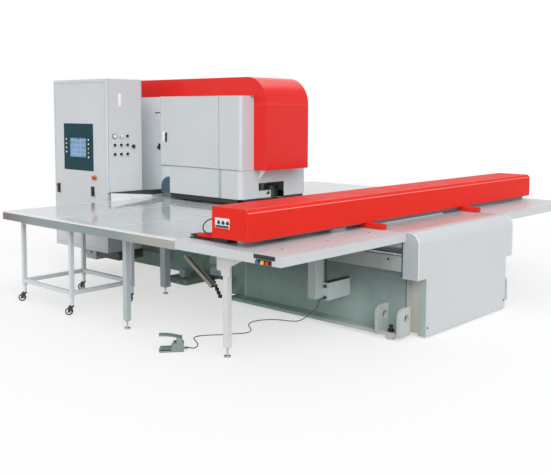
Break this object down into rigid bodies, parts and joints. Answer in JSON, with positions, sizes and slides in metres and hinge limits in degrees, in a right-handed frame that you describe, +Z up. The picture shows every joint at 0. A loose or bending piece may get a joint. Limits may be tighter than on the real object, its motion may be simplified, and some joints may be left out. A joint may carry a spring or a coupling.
{
  "type": "cnc turret punch press",
  "caption": "Floor-standing turret punch press with a red nose over turret covers, wide sheet tables on legs, a clamp crossrail, a raised cabinet, a castor cart and a foot pedal on a cord.",
  "frame": {"origin": "on the floor below the punch axis, at the middle of the pad under the nose", "axes": "+X along the crossrail to the right, +Y from the loading side to the rear, +Z up"},
  "size_m": [5.1242, 5.18, 2.38],
  "materials": {
    "red_paint": "gloss",
    "light_paint": "satin",
    "grey_paint": "satin",
    "table_steel": "brushed",
    "machined_steel": "machined",
    "tool_steel": "ground",
    "dark_steel": "satin",
    "console_paint": "satin",
    "screen_glass": "gloss",
    "stop_red": "gloss",
    "button_blue": "gloss",
    "button_yellow": "gloss",
    "white_plate": "gloss",
    "pedal_paint": "satin",
    "cable_rubber": "matt",
    "wheel_rubber": "matt"
  },
  "bodies": {
    "press": {"base_frame": "grey_paint", "levelling_feet": "dark_steel", "front_cover": "light_paint", "centre_table": "table_steel", "front_tables": "light_paint", "rear_table_plates": "table_steel", "rear_table_frames": "table_steel", "table_legs": "grey_paint", "c_frame": "light_paint", "nose_cowl": "red_paint", "turret_hoods": "light_paint", "lower_skirt": "light_paint", "turret_bearings": "machined_steel", "ram_cylinder": "machined_steel", "y_rails": "machined_steel", "cabinet": "light_paint", "cabinet_panel": "light_paint", "console": "console_paint", "screen": "screen_glass", "cabinet_controls": "console_paint", "station": "console_paint", "cart_frame": "grey_paint", "junction_box": "grey_paint", "box_cable": "cable_rubber", "drive_housing": "grey_paint", "slug_chute": "machined_steel", "pedal_housing": "grey_paint", "pedal_cord": "cable_rubber"},
    "crossrail": {"crossrail_beam": "machined_steel", "crossrail_cover": "red_paint", "crossrail_feet": "red_paint", "x_rails": "machined_steel", "end_plate": "white_plate"},
    "carriage": {"x_carriage": "machined_steel", "clamp_hose": "cable_rubber"},
    "jaw_1": {"clamp_jaw_1": "red_paint"},
    "jaw_2": {"clamp_jaw_2": "red_paint"},
    "jaw_3": {"clamp_jaw_3": "red_paint"},
    "upper_turret": {"upper_turret": "machined_steel", "punches": "tool_steel"},
    "lower_turret": {"lower_turret": "machined_steel", "dies": "tool_steel"},
    "punch": {"active_punch": "tool_steel"},
    "striker": {"striker": "machined_steel"},
    "door": {"turret_door": "light_paint"},
    "latch": {"door_latch": "machined_steel"},
    "treadle": {"pedal_treadle": "pedal_paint"},
    "stop": {"stop_button": "stop_red"},
    "key": {"key_switch": "console_paint"},
    "blue": {"blue_button": "button_blue"},
    "yellow": {"yellow_button": "button_yellow"},
    "red": {"red_button": "stop_red"},
    "fork_1": {"castor_fork_1": "dark_steel"},
    "wheel_1": {"castor_wheel_1": "wheel_rubber"},
    "fork_2": {"castor_fork_2": "dark_steel"},
    "wheel_2": {"castor_wheel_2": "wheel_rubber"},
    "fork_3": {"castor_fork_3": "dark_steel"},
    "wheel_3": {"castor_wheel_3": "wheel_rubber"},
    "fork_4": {"castor_fork_4": "dark_steel"},
    "wheel_4": {"castor_wheel_4": "wheel_rubber"}
  },
  "joints": [
    {"name": "crossrail_travel", "type": "slide", "parent": "press", "child": "crossrail", "axis": [0, 1, 0], "range_m": [0, 1.25]},
    {"name": "carriage_travel", "type": "slide", "parent": "crossrail", "child": "carriage", "axis": [1, 0, 0], "range_m": [0, 3.4]},
    {"name": "jaw_1_pinch", "type": "hinge", "parent": "carriage", "child": "jaw_1", "pos_m": [-2.31, -1.74, 1], "axis": [1, 0, 0], "range_deg": [-1.3, 0], "stiffness_Nm_per_rad": 200, "springref_deg": 6.88},
    {"name": "jaw_2_pinch", "type": "hinge", "parent": "carriage", "child": "jaw_2", "pos_m": [-1.71, -1.74, 1], "axis": [1, 0, 0], "range_deg": [-1.3, 0], "stiffness_Nm_per_rad": 200, "springref_deg": 6.88},
    {"name": "jaw_3_pinch", "type": "hinge", "parent": "carriage", "child": "jaw_3", "pos_m": [-1.11, -1.74, 1], "axis": [1, 0, 0], "range_deg": [-1.3, 0], "stiffness_Nm_per_rad": 200, "springref_deg": 6.88},
    {"name": "upper_turret_spin", "type": "hinge", "parent": "press", "child": "upper_turret", "pos_m": [0, 0.46, 0], "axis": [0, 0, 1], "continuous": true},
    {"name": "lower_turret_spin", "type": "hinge", "parent": "press", "child": "lower_turret", "pos_m": [0, 0.46, 0], "axis": [0, 0, 1], "continuous": true},
    {"name": "striker_stroke", "type": "slide", "parent": "press", "child": "striker", "axis": [0, 0, 1], "range_m": [-0.04, 0]},
    {"name": "punch_stroke", "type": "slide", "parent": "upper_turret", "child": "punch", "axis": [0, 0, 1], "range_m": [-0.04, 0], "stiffness_N_per_m": 3000, "springref_m": 0.02},
    {"name": "door_swing", "type": "hinge", "parent": "press", "child": "door", "pos_m": [-0.5475, 0.1445, 1.76], "axis": [0, 0, 1], "range_deg": [0, 110]},
    {"name": "latch_turn", "type": "hinge", "parent": "door", "child": "latch", "pos_m": [-0.56, 1.029, 1.722], "axis": [1, 0, 0], "range_deg": [0, 90]},
    {"name": "treadle_press", "type": "hinge", "parent": "press", "child": "treadle", "pos_m": [-2.44605, -1.37814, 0.1], "axis": [-0.6428, -0.766, 0], "range_deg": [0, 12], "stiffness_Nm_per_rad": 10, "springref_deg": -17.19},
    {"name": "stop_press", "type": "slide", "parent": "press", "child": "stop", "axis": [1, 0, 0], "range_m": [0, 0.004], "stiffness_N_per_m": 500, "springref_m": -0.004},
    {"name": "key_turn", "type": "hinge", "parent": "press", "child": "key", "pos_m": [-0.811, 1.35, 1.575], "axis": [0, 1, 0], "range_deg": [0, 90]},
    {"name": "blue_press", "type": "slide", "parent": "press", "child": "blue", "axis": [1, 0, 0], "range_m": [0, 0.004], "stiffness_N_per_m": 500, "springref_m": -0.004},
    {"name": "yellow_press", "type": "slide", "parent": "press", "child": "yellow", "axis": [1, 0, 0], "range_m": [0, 0.004], "stiffness_N_per_m": 500, "springref_m": -0.004},
    {"name": "red_press", "type": "slide", "parent": "press", "child": "red", "axis": [1, 0, 0], "range_m": [0, 0.004], "stiffness_N_per_m": 500, "springref_m": -0.004},
    {"name": "swivel_1", "type": "hinge", "parent": "press", "child": "fork_1", "pos_m": [-2.39, 0.29, 0.09], "axis": [0, 0, 1], "continuous": true},
    {"name": "wheel_1_roll", "type": "hinge", "parent": "fork_1", "child": "wheel_1", "pos_m": [-2.41007, 0.31229, 0.0375], "axis": [0.7431, 0.6691, 0], "continuous": true},
    {"name": "swivel_2", "type": "hinge", "parent": "press", "child": "fork_2", "pos_m": [-2.39, 1.16, 0.09], "axis": [0, 0, 1], "continuous": true},
    {"name": "wheel_2_roll", "type": "hinge", "parent": "fork_2", "child": "wheel_2", "pos_m": [-2.41007, 1.18229, 0.0375], "axis": [0.7431, 0.6691, 0], "continuous": true},
    {"name": "swivel_3", "type": "hinge", "parent": "press", "child": "fork_3", "pos_m": [-1.66, 0.29, 0.09], "axis": [0, 0, 1], "continuous": true},
    {"name": "wheel_3_roll", "type": "hinge", "parent": "fork_3", "child": "wheel_3", "pos_m": [-1.68007, 0.31229, 0.0375], "axis": [0.7431, 0.6691, 0], "continuous": true},
    {"name": "swivel_4", "type": "hinge", "parent": "press", "child": "fork_4", "pos_m": [-1.66, 1.16, 0.09], "axis": [0, 0, 1], "continuous": true},
    {"name": "wheel_4_roll", "type": "hinge", "parent": "fork_4", "child": "wheel_4", "pos_m": [-1.68007, 1.18229, 0.0375], "axis": [0.7431, 0.6691, 0], "continuous": true}
  ],
  "couplings": [
    {"joint": "lower_turret_spin", "follows": "upper_turret_spin", "ratio": 1},
    {"joint": "punch_stroke", "follows": "striker_stroke", "ratio": 1},
    {"joint": "jaw_2_pinch", "follows": "jaw_1_pinch", "ratio": 1},
    {"joint": "jaw_3_pinch", "follows": "jaw_1_pinch", "ratio": 1}
  ]
}
